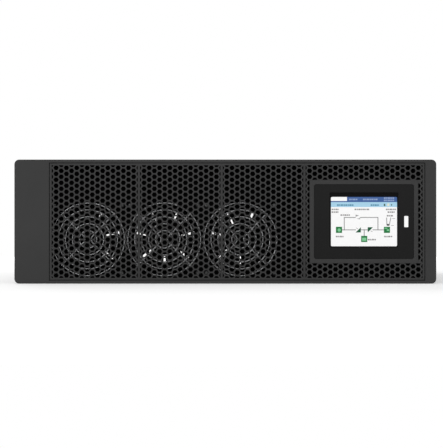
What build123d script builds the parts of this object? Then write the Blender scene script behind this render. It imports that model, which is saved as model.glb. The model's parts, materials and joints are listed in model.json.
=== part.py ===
from build123d import *
import math
import os

# Rack-mount uninterruptible power supply, three rack units high, with its batteries in another case.
# X runs to the right as seen from the front, Y to the rear and Z up.
# The origin is at floor level, in the middle of the overall box. Sizes are in millimetres.

# Overall sizes
WIDTH = 440.0  # across the front bezel, which fits between the posts of a 19-inch rack
HEIGHT = 129.4  # three rack units, less the room to slide the unit in
BEZEL_DEPTH = 28.0
CHASSIS_DEPTH = 590.0
TERMINAL_PROJECTION = 22.0  # how far the terminal cover stands out of the rear panel

# Front bezel, a moulded frame that is hollow behind its two wings
BEZEL_CORNER = 5.0
BEZEL_EDGE = 1.2
BEZEL_WALL = 2.5
WING_LEFT = 36.2
WING_RIGHT = 11.6
RAIL = 3.2  # top and bottom members of the frame
LEDGE = 2.0  # step behind the opening, which the grille rests on
BEZEL_RELIEF = 6.0  # the inner walls stop short of the chassis, clear of the fans' screws

# Honeycomb grille, let into the bezel's opening
GRILLE_THICKNESS = 3.0
GRILLE_RECESS = 0.5  # front of the grille behind the front of the bezel
GRILLE_GAP = 0.7  # shadow gap between the grille and the bezel's opening
CELL_PITCH = 6.23
CELL_HOLE = 4.7  # across the flats of a cell
FIELD_MARGIN = 2.7  # from the bezel's opening to the first cut cells
FIRST_COLUMN = 7.3  # from the bezel's opening to the first full column of cells
RIB_WIDTH = 2.3
BAYS = 4  # three in front of the fans and one round the display
SMALLEST_OPENING = 1.0  # a cut cell smaller than this, in square millimetres, stays filled

# Display, set into the grille near its right end
DISPLAY_FROM_RIGHT = 75.5  # from the bezel's right edge to the middle of the display
RIM_SIZE = (112.7, 86.4)
RIM_WIDTH = 4.2
RIM_CORNER = 1.5
DISPLAY_BACK_GAP = 4.0  # from the back of the display's case to the chassis
PANEL_CORNER = 2.5
PANEL_THICKNESS = 2.0
PANEL_RECESS = 0.4  # front of the black panel behind the rim
PANEL_GAP = 0.2
SCREEN_SIZE = (69.9, 52.4)  # lit area of a 3.5-inch screen
SCREEN_LIFT = 0.2  # middle of the lit area above the middle of the display
SCREEN_BORDER = 0.8  # dark border beside and below the lit area
SCREEN_TOP_BORDER = 4.0
SCREEN_CORNER = 1.0
SCREEN_RECESS = 0.8
SCREEN_GAP = 0.15
LIGHT_SIZE = (4.4, 11.9)
LIGHT_CORNER = 0.8
LIGHT_FROM_EDGE = 7.8  # from the black panel's right edge to the middle of the light

# Sheet-metal chassis
SHEET = 1.2
CHASSIS_SIDE_STEP = 1.0  # chassis side inside the bezel's edge
CHASSIS_TOP_STEP = 1.4
BEND_RADIUS = 2.0
TRAY_FLANGE = 12.0
EAR_HOLE = 4.2  # clearance for the M4 screws of a rack bracket
EAR_SPACING = (30.0, 76.0)  # along the depth and up the side
EAR_FROM_FRONT = 40.0  # from the chassis front to the middle of the bracket's holes

# Fans, three in a row behind the bulkhead
FAN_SIZE = 80.0
FAN_DEPTH = 38.0
FAN_GAP = 0.4  # between two fan frames
FAN_CORNER = 4.0
FAN_WALL = 1.8  # thinnest wall round the bore
FAN_SCREW_INSET = 4.25  # from the frame's side to a screw
FAN_SCREW_HOLE = 4.3
FAN_ROW_FROM_LEFT = 35.2  # from the bezel's left edge to the first fan's frame
FAN_LIFT = 6.0  # from the floor to the fan frames
FAN_NAMES = ("left", "middle", "right")

# Fan rotor and the parts of the housing that carry it
BLADES = 7
BLADE_SLIT = 4.6  # degrees of open slit between two blades, seen from the front
BLADE_EDGE = 0.8
BLADE_THICKNESS = 1.8
BLADE_CAMBER = 2.0
BLADE_DEPTH = 14.0  # along the axis, at the tip
ROTOR_DEPTH = 19.0
ROTOR_SETBACK = 5.2  # front of the rotor behind the front of the fan frame
ROTOR_CLEARANCE = 5.0
HUB_RADIUS = 18.0
HUB_WALL = 3.0
HUB_CHAMFER = 1.5
SHAFT_RADIUS = 2.0
SHAFT_CLEARANCE = 0.1
SHAFT_END_GAP = 1.0
BEARING_RADIUS = 4.5
BEARING_LENGTH = 16.0
MOTOR_BASE = 8.0  # depth of the fixed part of the motor
STRUT_WIDTH = 3.5
STRUT_DEPTH = 5.0
STRUTS = 4
OUTLET_LENGTH = 7.0  # tapered lip at the rear of the bore
OUTLET_OVERLAP = 1.2  # how far the lip reaches in past the tips of the blades

# Wire guards in the bulkhead's openings, held between the bulkhead and the fans
WIRE = 1.5
GUARD_OVERLAP = 0.2  # middle of the outer ring's wire outside the fan's bore
GUARD_RING_STEP = 7.3
GUARD_RINGS = 5
GUARD_TIP = 1.5  # from the fan's axis to the corner of a bent stay
GUARD_BEND = 5.0
GUARD_EYE = 4.0
GUARD_CLEARANCE = 0.45  # from the outer ring to the edge of the bulkhead's opening
RING_SIDES = 36  # straight lengths that stand for the curve of a ring
WIRE_BITE = 0.2  # how far a ring is pressed into the stays when it is welded

# Exhaust slots in the rear panel, in line with the fans
SLOT_PITCH = 8.2
SLOT_WIDTH = 5.0
SLOT_HEIGHT = 30.0
SLOT_ROWS = 2
SLOT_BRIDGE = 6.0
EXHAUST_INSET = 16.0  # least distance from the end of the fan row to the first slot
EXHAUST_SHIFT = 1.1  # middle of the slots to the right of the middle of the fan row
EXHAUST_DROP = 3.0  # middle of the slots below the fans' axes

# Rear connections
CONNECTOR_COLUMN_FROM_LEFT = 27.0  # from the chassis side to the middle of the breaker and battery socket
BATTERY_WIDTH = 26.0
BATTERY_PROJECTION = 14.0
BATTERY_BOTTOM = 14.0
BATTERY_GAP = 8.0  # from the battery socket up to the breaker
BATTERY_POLES = 3
BATTERY_POLE_SIZE = (15.0, 13.0)
BATTERY_POLE_DEPTH = 11.0
BATTERY_CORNER = 2.0
BREAKER_SIZE = (36.0, 36.0, 5.0)
BREAKER_NOSE = (36.0, 17.0, 6.0)
BREAKER_FROM_TOP = 26.0
TOGGLE_SIZE = (26.0, 5.0, 9.0)
TOGGLE_LIFT = 4.2  # above the middle of the breaker
TOGGLE_EDGE = 1.2
TERMINAL_WIDTH = 134.0
TERMINAL_FROM_RIGHT = 82.0  # from the chassis side to the middle of the terminal cover
TERMINAL_BOTTOM = 9.0
TERMINAL_GAP = 9.0  # from the terminal cover up to the card slot
TERMINAL_EDGE = 2.0
KNOCKOUTS = 3
KNOCKOUT_PITCH = 40.0
KNOCKOUT_RADIUS = 13.0
KNOCKOUT_DEPTH = 0.6
CARD_SIZE = (118.0, 30.0, 1.5)
CARD_CORNER = 2.0
CARD_FROM_TOP = 23.0
THUMBSCREW_RADIUS = 4.0
THUMBSCREW_LENGTH = 8.0
THUMBSCREW_INSET = 8.0
PORT_FROM_TOP = 23.0
SERIAL_FLANGE = (31.0, 12.5, 1.0)
SERIAL_CORNER = 1.5
SERIAL_SHELL = (17.0, 8.4, 5.5)
SERIAL_SLOPE = 10.0  # degrees that the shell's ends lean in
SERIAL_NUT = (2.7, 4.5)  # radius and height of the two jack nuts
SERIAL_NUT_SPACING = 25.0
USB_SIZE = (12.0, 11.0, 6.0)
USB_MOUTH = (8.5, 7.8)
USB_MOUTH_CORNER = 1.0
USB_FLOOR = 1.2
USB_TONGUE = (5.6, 3.2)
SWITCH_TERMINAL_SIZE = (11.0, 9.0, 9.0)
SWITCH_TERMINAL_EDGE = 2.2
PORT_SPACING = 32.0
STUD_RADIUS = 3.0
STUD_LENGTH = 15.0
STUD_NUT = (5.0, 5.0)  # half the size across flats, and height
STUD_WASHER = (6.5, 1.2)
STUD_LIFT = 22.0
STUD_FROM_TERMINAL = 14.0  # from the terminal cover to the middle of the earth stud

# Planes across the depth, and the edges of the main parts
DEPTH = BEZEL_DEPTH + CHASSIS_DEPTH + TERMINAL_PROJECTION
FRONT = -DEPTH / 2
CHASSIS_FRONT = FRONT + BEZEL_DEPTH
CHASSIS_REAR = CHASSIS_FRONT + CHASSIS_DEPTH
GRILLE_FRONT = FRONT + GRILLE_RECESS
GRILLE_BACK = GRILLE_FRONT + GRILLE_THICKNESS
FAN_FRONT = CHASSIS_FRONT + SHEET + WIRE
LEFT = -WIDTH / 2
RIGHT = WIDTH / 2
OPENING = (LEFT + WING_LEFT, RIGHT - WING_RIGHT, RAIL, HEIGHT - RAIL)
CHASSIS_HALF = WIDTH / 2 - CHASSIS_SIDE_STEP
CHASSIS_TOP = HEIGHT - CHASSIS_TOP_STEP
DISPLAY_X = RIGHT - DISPLAY_FROM_RIGHT
DISPLAY_Z = HEIGHT / 2
FAN_AXIS_Z = FAN_LIFT + FAN_SIZE / 2
FAN_PITCH = FAN_SIZE + FAN_GAP
FAN_BORE = FAN_SIZE - 2 * FAN_WALL
FAN_SCREW_SPACING = FAN_SIZE - 2 * FAN_SCREW_INSET
GUARD_OUTER = FAN_BORE / 2 + GUARD_OVERLAP
FAN_AXES = [LEFT + FAN_ROW_FROM_LEFT + FAN_SIZE / 2 + FAN_PITCH * i for i in range(len(FAN_NAMES))]


def rect(x_low, x_high, z_low, z_high, radius=0.0):
    """Rectangle in the front view, with rounded corners where a radius is given."""
    middle = Pos((x_low + x_high) / 2, (z_low + z_high) / 2)
    width, height = x_high - x_low, z_high - z_low
    if radius:
        return middle * RectangleRounded(width, height, radius)
    return middle * Rectangle(width, height)


def grown(edges, by):
    """(x low, x high, z low, z high) moved outwards by a distance, or inwards if it is negative."""
    x_low, x_high, z_low, z_high = edges
    return x_low - by, x_high + by, z_low - by, z_high + by


def around(x, z, size):
    """The four edges of a rectangle of that size about a point."""
    return x - size[0] / 2, x + size[0] / 2, z - size[1] / 2, z + size[1] / 2


def repeated(places, sketch):
    """The same sketch at each of several places, as one."""
    return Sketch() + [place * sketch for place in places]


def slab(sketch, front, back):
    """A front-view sketch made solid between two planes across the depth."""
    plane = Plane(origin=(0, front, 0), x_dir=(1, 0, 0), z_dir=(0, -1, 0))
    return extrude(plane * sketch, amount=front - back)


def on_rear(sketch, height, base=0.0):
    """A front-view sketch made solid outwards from the rear panel, or from a base that stands out of it."""
    return slab(sketch, CHASSIS_REAR + base, CHASSIS_REAR + base + height)


def fan_plane(x, y):
    """Plane across a fan's axis, with Z to the rear and Y down."""
    return Plane(origin=(x, y, FAN_AXIS_Z), x_dir=(1, 0, 0), z_dir=(0, 1, 0))


RIM = around(DISPLAY_X, DISPLAY_Z, RIM_SIZE)
POCKET = grown(RIM, -RIM_WIDTH)
PANEL = grown(POCKET, -PANEL_GAP)
SCREEN_LIT = around(DISPLAY_X, DISPLAY_Z + SCREEN_LIFT, SCREEN_SIZE)
SCREEN_WINDOW = (*grown(SCREEN_LIT, SCREEN_BORDER)[:3], SCREEN_LIT[3] + SCREEN_TOP_BORDER)
LIGHT_SLOT = around(PANEL[1] - LIGHT_FROM_EDGE, DISPLAY_Z, LIGHT_SIZE)


def bezel_frame():
    """Moulded frame with a wide left wing, a narrow right one and a ledge that the grille rests on."""
    body = slab(rect(LEFT, RIGHT, 0, HEIGHT, BEZEL_CORNER), FRONT, CHASSIS_FRONT)
    body = fillet(body.faces().sort_by(Axis.Y)[0].outer_wire().edges(), BEZEL_EDGE)
    body -= slab(rect(*OPENING), FRONT, GRILLE_BACK)
    body -= slab(rect(*grown(OPENING, -LEDGE)), GRILLE_BACK, CHASSIS_FRONT)
    wing_bottom, wing_top = BEZEL_WALL, HEIGHT - BEZEL_WALL
    for x_low, x_high in ((LEFT, OPENING[0]), (OPENING[1], RIGHT)):
        hollow = rect(x_low + BEZEL_WALL, x_high - BEZEL_WALL, wing_bottom, wing_top)
        body -= slab(hollow, FRONT + BEZEL_WALL, CHASSIS_FRONT)
    within_wall = rect(LEFT + BEZEL_WALL, RIGHT - BEZEL_WALL, wing_bottom, wing_top)
    return body - slab(within_wall, CHASSIS_FRONT - BEZEL_RELIEF, CHASSIS_FRONT)


COLUMN_PITCH = CELL_PITCH * math.cos(math.radians(30))
FIRST_COLUMN_X = OPENING[0] + FIRST_COLUMN
FIELD = grown(OPENING, -FIELD_MARGIN)
LAST_RIB_COLUMN = math.floor((RIM[0] - RIB_WIDTH / 2 - FIRST_COLUMN_X) / COLUMN_PITCH)
RIBS = [FIRST_COLUMN_X + COLUMN_PITCH * (LAST_RIB_COLUMN * i // (BAYS - 1)) for i in range(1, BAYS)]


def honeycomb_centres(x_low, x_high):
    """Middles of the lattice's cells between two upright lines, in columns that step by half a cell."""
    first = math.floor((x_low - FIRST_COLUMN_X) / COLUMN_PITCH)
    last = math.ceil((x_high - FIRST_COLUMN_X) / COLUMN_PITCH)
    rows = math.ceil(HEIGHT / 2 / CELL_PITCH)
    for column in range(first, last + 1):
        x = FIRST_COLUMN_X + column * COLUMN_PITCH
        shift = CELL_PITCH / 2 if column % 2 else 0.0
        for row in range(-rows, rows + 1):
            yield x, HEIGHT / 2 + row * CELL_PITCH + shift


def grille_cells(field, keep_out):
    """The cells that open in a field, cut off at its edges and at the edges of what stands in it."""
    half_width = CELL_HOLE / 2 / math.cos(math.radians(30))
    half_height = CELL_HOLE / 2
    for x, z in honeycomb_centres(field[0], field[1]):
        box = (x - half_width, x + half_width, z - half_height, z + half_height)
        if box[0] > field[1] or box[1] < field[0] or box[2] > field[3] or box[3] < field[2]:
            continue
        cell = Pos(x, z) * RegularPolygon(CELL_HOLE / 2, 6, major_radius=False)
        if box[0] < field[0] or box[1] > field[1] or box[2] < field[2] or box[3] > field[3]:
            cell = cell & rect(*field)
        if box[1] > keep_out[0] and box[0] < keep_out[1] and box[3] > keep_out[2] and box[2] < keep_out[3]:
            cell = cell - rect(*keep_out)
        if cell is not None and cell.area > SMALLEST_OPENING:
            yield cell


def grille_bay(index):
    """One bay of the honeycomb, from the middle of one rib to the middle of the next."""
    outline = grown(OPENING, -GRILLE_GAP)
    lines = [outline[0], *RIBS, outline[1]]
    left, right = lines[index], lines[index + 1]
    field_left = FIELD[0] if index == 0 else left + RIB_WIDTH / 2
    field_right = FIELD[1] if index == BAYS - 1 else right - RIB_WIDTH / 2
    plate = rect(left, right, outline[2], outline[3])
    if index == BAYS - 1:
        plate -= rect(*RIM)
    plate -= list(grille_cells((field_left, field_right, FIELD[2], FIELD[3]), RIM))
    return slab(plate, GRILLE_FRONT, GRILLE_BACK)


def display_housing():
    """Case of the display, with a raised rim and a pocket for the black panel."""
    body = slab(rect(*RIM, RIM_CORNER), FRONT, GRILLE_FRONT)
    body += slab(rect(*RIM), GRILLE_FRONT, CHASSIS_FRONT - DISPLAY_BACK_GAP)
    return body - slab(rect(*POCKET, PANEL_CORNER), FRONT, FRONT + PANEL_RECESS + PANEL_THICKNESS)


def display_panel():
    """Black front panel with a window for the screen and a slot for the status light."""
    face = rect(*PANEL, PANEL_CORNER - PANEL_GAP)
    face -= rect(*SCREEN_WINDOW, SCREEN_CORNER)
    face -= rect(*LIGHT_SLOT, LIGHT_CORNER)
    return slab(face, FRONT + PANEL_RECESS, FRONT + PANEL_RECESS + PANEL_THICKNESS)


def lcd_screen():
    """Screen behind the panel's window, resting on the floor of the pocket."""
    face = rect(*grown(SCREEN_WINDOW, -SCREEN_GAP), SCREEN_CORNER - SCREEN_GAP)
    front = FRONT + PANEL_RECESS + SCREEN_RECESS
    return slab(face, front, FRONT + PANEL_RECESS + PANEL_THICKNESS)


def status_light():
    """Bar of clear plastic that carries light to the front of the panel."""
    face = rect(*grown(LIGHT_SLOT, -SCREEN_GAP), LIGHT_CORNER - SCREEN_GAP)
    return slab(face, FRONT + PANEL_RECESS, FRONT + PANEL_RECESS + PANEL_THICKNESS)


def top_cover():
    """Sheet folded over the top and down both sides, with holes for rack brackets near the front."""
    outside = rect(-CHASSIS_HALF, CHASSIS_HALF, 0, CHASSIS_TOP)
    outside = fillet(outside.vertices().group_by(Axis.Y)[-1], BEND_RADIUS)
    inside = rect(-CHASSIS_HALF + SHEET, CHASSIS_HALF - SHEET, 0, CHASSIS_TOP - SHEET)
    inside = fillet(inside.vertices().group_by(Axis.Y)[-1], BEND_RADIUS - SHEET)
    cover = slab(outside - inside, CHASSIS_FRONT, CHASSIS_REAR)
    middle = (0, CHASSIS_FRONT + EAR_FROM_FRONT, CHASSIS_TOP / 2)
    side = Plane(origin=middle, x_dir=(0, 1, 0), z_dir=(1, 0, 0))
    holes = repeated(GridLocations(*EAR_SPACING, 2, 2), Circle(EAR_HOLE / 2))
    return cover - extrude(side * holes, amount=CHASSIS_HALF, both=True)


def inside_edges(bottom):
    """Edges of a sheet that stands upright inside the cover."""
    return -CHASSIS_HALF + SHEET, CHASSIS_HALF - SHEET, bottom, CHASSIS_TOP - SHEET


def base_tray():
    """Bottom sheet with its long edges turned up inside the cover, between the two end walls."""
    x_low, x_high, _, _ = inside_edges(0)
    floor = slab(rect(x_low, x_high, 0, SHEET), CHASSIS_FRONT, CHASSIS_REAR)
    turned_up = rect(x_low, x_high, 0, TRAY_FLANGE) - rect(x_low + SHEET, x_high - SHEET, 0, TRAY_FLANGE)
    return floor + slab(turned_up, CHASSIS_FRONT + SHEET, CHASSIS_REAR - SHEET)


def end_wall(front):
    """Upright end sheet of the chassis, standing on the tray."""
    wall = rect(*inside_edges(SHEET))
    wall = fillet(wall.vertices().group_by(Axis.Y)[-1], BEND_RADIUS - SHEET)
    return wall, front, front + SHEET


def fan_bulkhead():
    """Front wall of the chassis, with a round opening for each fan and its guard."""
    wall, front, back = end_wall(CHASSIS_FRONT)
    opening = Circle(GUARD_OUTER + WIRE / 2 + GUARD_CLEARANCE)
    wall -= [Pos(x, FAN_AXIS_Z) * opening for x in FAN_AXES]
    return slab(wall, front, back)


def rear_panel():
    """Rear wall of the chassis, with two rows of upright exhaust slots in line with the fans."""
    wall, front, back = end_wall(CHASSIS_REAR - SHEET)
    row_left = FAN_AXES[0] - FAN_SIZE / 2 + EXHAUST_INSET
    row_right = FAN_AXES[-1] + FAN_SIZE / 2 - EXHAUST_INSET
    columns = math.floor((row_right - row_left) / SLOT_PITCH)
    places = GridLocations(SLOT_PITCH, SLOT_HEIGHT + SLOT_BRIDGE, columns, SLOT_ROWS)
    slots = repeated(places, Rectangle(SLOT_WIDTH, SLOT_HEIGHT))
    wall -= Pos((row_left + row_right) / 2 + EXHAUST_SHIFT, FAN_AXIS_Z - EXHAUST_DROP) * slots
    return slab(wall, front, back)


def fan_guard(x):
    """Welded wire guard: rings in the bulkhead's opening, on two stays that are bent from eye to eye."""
    eye = FAN_SCREW_SPACING / 2
    stay = FilletPolyline((-eye, eye), (-GUARD_TIP, 0), (-eye, -eye), radius=GUARD_BEND)
    stays = trace(stay, WIRE) + mirror(trace(stay, WIRE), Plane.YZ)
    corners = GridLocations(FAN_SCREW_SPACING, FAN_SCREW_SPACING, 2, 2)
    stays = stays + repeated(corners, Circle(GUARD_EYE)) - repeated(corners, Circle(FAN_SCREW_HOLE / 2))
    guard = extrude(stays, amount=WIRE, dir=(0, 0, -1))
    for i in range(GUARD_RINGS):
        radius = GUARD_OUTER - i * GUARD_RING_STEP
        ring = RegularPolygon(radius + WIRE / 2, RING_SIDES) - RegularPolygon(radius - WIRE / 2, RING_SIDES)
        guard += Pos(0, 0, WIRE_BITE - WIRE) * extrude(ring, amount=WIRE, dir=(0, 0, -1))
    return fan_plane(x, FAN_FRONT) * guard


TIP_RADIUS = FAN_BORE / 2 - ROTOR_CLEARANCE
OUTLET_RADIUS = TIP_RADIUS - OUTLET_OVERLAP
MOTOR_FRONT = FAN_DEPTH - MOTOR_BASE
BEARING_FRONT = MOTOR_FRONT - BEARING_LENGTH
SHAFT_END = FAN_DEPTH - MOTOR_BASE / 2


def fan_housing(x):
    """Square fan frame with a tapered outlet, and a motor base on struts with a bearing tube."""
    frame = extrude(RectangleRounded(FAN_SIZE, FAN_SIZE, FAN_CORNER), amount=FAN_DEPTH)
    straight = FAN_DEPTH - OUTLET_LENGTH
    frame -= extrude(Circle(FAN_BORE / 2), amount=straight)
    outlet = Cone(FAN_BORE / 2, OUTLET_RADIUS, OUTLET_LENGTH, align=(Align.CENTER, Align.CENTER, Align.MIN))
    frame -= Pos(0, 0, straight) * outlet
    corners = GridLocations(FAN_SCREW_SPACING, FAN_SCREW_SPACING, 2, 2)
    frame -= extrude(repeated(corners, Circle(FAN_SCREW_HOLE / 2)), amount=FAN_DEPTH)
    strut_length = OUTLET_RADIUS + STRUT_DEPTH / 2 - HUB_RADIUS / 2
    strut = Pos(HUB_RADIUS / 2 + strut_length / 2, 0) * Rectangle(strut_length, STRUT_WIDTH)
    struts = repeated(PolarLocations(0, STRUTS, start_angle=45), strut)
    frame += Pos(0, 0, FAN_DEPTH - STRUT_DEPTH) * extrude(struts, amount=STRUT_DEPTH)
    frame += Pos(0, 0, MOTOR_FRONT) * extrude(Circle(HUB_RADIUS), amount=MOTOR_BASE)
    frame += Pos(0, 0, BEARING_FRONT) * extrude(Circle(BEARING_RADIUS), amount=BEARING_LENGTH)
    bore = Circle(SHAFT_RADIUS + SHAFT_CLEARANCE)
    frame -= Pos(0, 0, BEARING_FRONT) * extrude(bore, amount=SHAFT_END + SHAFT_END_GAP - BEARING_FRONT)
    return fan_plane(x, FAN_FRONT) * frame


def fan_blade():
    """Blade of a constant cambered section, trimmed to two radial edges and the tip circle."""
    half_angle = math.radians((360 / BLADES - BLADE_SLIT) / 2)
    edge_x, edge_y = TIP_RADIUS * math.cos(half_angle), TIP_RADIUS * math.sin(half_angle)
    front = ROTOR_SETBACK + (ROTOR_DEPTH - BLADE_DEPTH) / 2
    back = front + BLADE_DEPTH
    crown = (front + back) / 2 - BLADE_CAMBER
    lead, lead_back = (-edge_y, front), (-edge_y, front + BLADE_EDGE)
    trail, trail_back = (edge_y, back - BLADE_EDGE), (edge_y, back)
    section = Line(lead_back, lead)
    section += ThreePointArc(lead, (0, crown - BLADE_THICKNESS / 2), trail)
    section += Line(trail, trail_back)
    section += ThreePointArc(trail_back, (0, crown + BLADE_THICKNESS / 2), lead_back)
    root = HUB_RADIUS - HUB_WALL / 2
    plane = Plane(origin=(root, 0, 0), x_dir=(0, 1, 0), z_dir=(1, 0, 0))
    sheet = extrude(plane * make_face(section), amount=TIP_RADIUS - root)
    sector = Line((0, 0), (edge_x, -edge_y))
    sector += ThreePointArc((edge_x, -edge_y), (TIP_RADIUS, 0), (edge_x, edge_y))
    sector += Line((edge_x, edge_y), (0, 0))
    return sheet & extrude(make_face(sector), amount=FAN_DEPTH)


def fan_rotor(x):
    """Impeller on a cup-shaped hub, with a shaft that runs in the housing's bearing tube."""
    hub = extrude(Circle(HUB_RADIUS), amount=ROTOR_DEPTH)
    hub = chamfer(hub.edges().sort_by(Axis.Z)[0], HUB_CHAMFER)
    hub -= Pos(0, 0, HUB_WALL) * extrude(Circle(HUB_RADIUS - HUB_WALL), amount=ROTOR_DEPTH)
    rotor = Pos(0, 0, ROTOR_SETBACK) * hub
    blade = fan_blade()
    first_blade = 90 + 180 / BLADES
    rotor += [Rot(0, 0, first_blade + i * 360 / BLADES) * blade for i in range(BLADES)]
    shaft_start = ROTOR_SETBACK + HUB_WALL / 2
    rotor += Pos(0, 0, shaft_start) * extrude(Circle(SHAFT_RADIUS), amount=SHAFT_END - shaft_start)
    return fan_plane(x, FAN_FRONT) * rotor


COLUMN_X = -CHASSIS_HALF + CONNECTOR_COLUMN_FROM_LEFT
BREAKER_Z = CHASSIS_TOP - BREAKER_FROM_TOP
BATTERY_TOP = BREAKER_Z - BREAKER_SIZE[1] / 2 - BATTERY_GAP
BATTERY_Z = (BATTERY_BOTTOM + BATTERY_TOP) / 2
BATTERY_SIZE = (BATTERY_WIDTH, BATTERY_TOP - BATTERY_BOTTOM)
CARD_Z = CHASSIS_TOP - CARD_FROM_TOP
TERMINAL_X = CHASSIS_HALF - TERMINAL_FROM_RIGHT
TERMINAL_TOP = CARD_Z - CARD_SIZE[1] / 2 - TERMINAL_GAP
TERMINAL_Z = (TERMINAL_BOTTOM + TERMINAL_TOP) / 2
TERMINAL_SIZE = (TERMINAL_WIDTH, TERMINAL_TOP - TERMINAL_BOTTOM)
PORT_Z = CHASSIS_TOP - PORT_FROM_TOP
PORT_XS = [FAN_AXES[1] + PORT_SPACING * i for i in (-1, 0, 1)]


def terminal_cover():
    """Cover over the supply and load terminals, with knockouts for the cables."""
    cover = on_rear(rect(*around(TERMINAL_X, TERMINAL_Z, TERMINAL_SIZE)), TERMINAL_PROJECTION)
    outer_face = cover.faces().sort_by(Axis.Y)[-1]
    cover = chamfer(outer_face.edges(), TERMINAL_EDGE)
    discs = repeated(GridLocations(KNOCKOUT_PITCH, 0, KNOCKOUTS, 1), Circle(KNOCKOUT_RADIUS))
    discs = Pos(TERMINAL_X, TERMINAL_Z) * discs
    return cover - on_rear(discs, KNOCKOUT_DEPTH, TERMINAL_PROJECTION - KNOCKOUT_DEPTH)


def battery_socket():
    """Socket block for the cable from the battery case, with one square mouth for each pole."""
    body = on_rear(rect(*around(COLUMN_X, BATTERY_Z, BATTERY_SIZE), BATTERY_CORNER), BATTERY_PROJECTION)
    pitch = BATTERY_SIZE[1] / BATTERY_POLES
    mouths = repeated(GridLocations(0, pitch, 1, BATTERY_POLES), Rectangle(*BATTERY_POLE_SIZE))
    floor = BATTERY_PROJECTION - BATTERY_POLE_DEPTH
    return body - on_rear(Pos(COLUMN_X, BATTERY_Z) * mouths, BATTERY_POLE_DEPTH, floor)


def input_breaker():
    """Body of the two-pole supply breaker, with a stepped nose."""
    body = on_rear(rect(*around(COLUMN_X, BREAKER_Z, BREAKER_SIZE)), BREAKER_SIZE[2])
    return body + on_rear(rect(*around(COLUMN_X, BREAKER_Z, BREAKER_NOSE)), BREAKER_NOSE[2], BREAKER_SIZE[2])


def breaker_toggle():
    """Bar that joins the breaker's two levers, in the upper position."""
    z = BREAKER_Z + TOGGLE_LIFT
    bar = on_rear(rect(*around(COLUMN_X, z, TOGGLE_SIZE)), TOGGLE_SIZE[2], BREAKER_SIZE[2] + BREAKER_NOSE[2])
    outer = bar.faces().sort_by(Axis.Y)[-1].edges().filter_by(Axis.X)
    return chamfer(outer, TOGGLE_EDGE)


def card_slot_cover():
    """Blank plate over the slot for a communications card."""
    return on_rear(rect(*around(TERMINAL_X, CARD_Z, CARD_SIZE), CARD_CORNER), CARD_SIZE[2])


def slot_thumbscrews():
    """Two screws that hold the blank plate, one at each end."""
    offset = CARD_SIZE[0] - 2 * THUMBSCREW_INSET
    heads = repeated(GridLocations(offset, 0, 2, 1), Circle(THUMBSCREW_RADIUS))
    return on_rear(Pos(TERMINAL_X, CARD_Z) * heads, THUMBSCREW_LENGTH, CARD_SIZE[2])


def serial_port():
    """D-shaped nine-way socket on its flange, with two jack nuts."""
    x = PORT_XS[0]
    port = on_rear(rect(*around(x, PORT_Z, SERIAL_FLANGE), SERIAL_CORNER), SERIAL_FLANGE[2])
    shell = Trapezoid(SERIAL_SHELL[0], SERIAL_SHELL[1], 90 - SERIAL_SLOPE)
    port += on_rear(Pos(x, PORT_Z) * Rot(0, 0, 180) * shell, SERIAL_SHELL[2], SERIAL_FLANGE[2])
    nuts = repeated(GridLocations(SERIAL_NUT_SPACING, 0, 2, 1), RegularPolygon(SERIAL_NUT[0], 6))
    return port + on_rear(Pos(x, PORT_Z) * nuts, SERIAL_NUT[1], SERIAL_FLANGE[2])


def usb_port():
    """Square data socket with a tongue in its mouth."""
    x = PORT_XS[1]
    body = rect(*around(x, PORT_Z, USB_SIZE)) - rect(*around(x, PORT_Z, USB_MOUTH), USB_MOUTH_CORNER)
    port = on_rear(body, USB_SIZE[2])
    port += on_rear(rect(*around(x, PORT_Z, USB_SIZE)), USB_FLOOR)
    return port + on_rear(rect(*around(x, PORT_Z, USB_TONGUE)), USB_SIZE[2] - USB_FLOOR)


def switch_terminal():
    """Plug-in terminal block for a remote emergency switch."""
    block = on_rear(rect(*around(PORT_XS[2], PORT_Z, SWITCH_TERMINAL_SIZE)), SWITCH_TERMINAL_SIZE[2])
    upper = block.faces().sort_by(Axis.Y)[-1].edges().sort_by(Axis.Z)[-1]
    return chamfer(upper, SWITCH_TERMINAL_EDGE)


def earth_stud():
    """Earthing stud with a washer and a nut."""
    place = Pos(TERMINAL_X - TERMINAL_SIZE[0] / 2 - STUD_FROM_TERMINAL, STUD_LIFT)
    stud = on_rear(place * Circle(STUD_RADIUS), STUD_LENGTH)
    stud += on_rear(place * Circle(STUD_WASHER[0]), STUD_WASHER[1])
    nut = RegularPolygon(STUD_NUT[0], 6, major_radius=False)
    return stud + on_rear(place * nut, STUD_NUT[1], STUD_WASHER[1])


def build():
    """Every sub-part by name."""
    parts = {
        "bezel_frame": bezel_frame(),
        "display_housing": display_housing(),
        "display_panel": display_panel(),
        "lcd_screen": lcd_screen(),
        "status_light": status_light(),
        "top_cover": top_cover(),
        "base_tray": base_tray(),
        "fan_bulkhead": fan_bulkhead(),
        "rear_panel": rear_panel(),
        "terminal_cover": terminal_cover(),
        "battery_socket": battery_socket(),
        "input_breaker": input_breaker(),
        "breaker_toggle": breaker_toggle(),
        "card_slot_cover": card_slot_cover(),
        "slot_thumbscrews": slot_thumbscrews(),
        "serial_port": serial_port(),
        "usb_port": usb_port(),
        "switch_terminal": switch_terminal(),
        "earth_stud": earth_stud(),
    }
    for index in range(BAYS):
        parts[f"grille_bay_{index + 1}"] = grille_bay(index)
    for name, x in zip(FAN_NAMES, FAN_AXES):
        parts[f"fan_guard_{name}"] = fan_guard(x)
        parts[f"fan_housing_{name}"] = fan_housing(x)
        parts[f"fan_rotor_{name}"] = fan_rotor(x)
    return parts


os.makedirs("parts", exist_ok=True)
for name, part in build().items():
    export_step(part, f"parts/{name}.step")
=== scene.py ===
import json
import math

import bmesh
import bpy
from mathutils import Matrix, Vector, geometry


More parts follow.
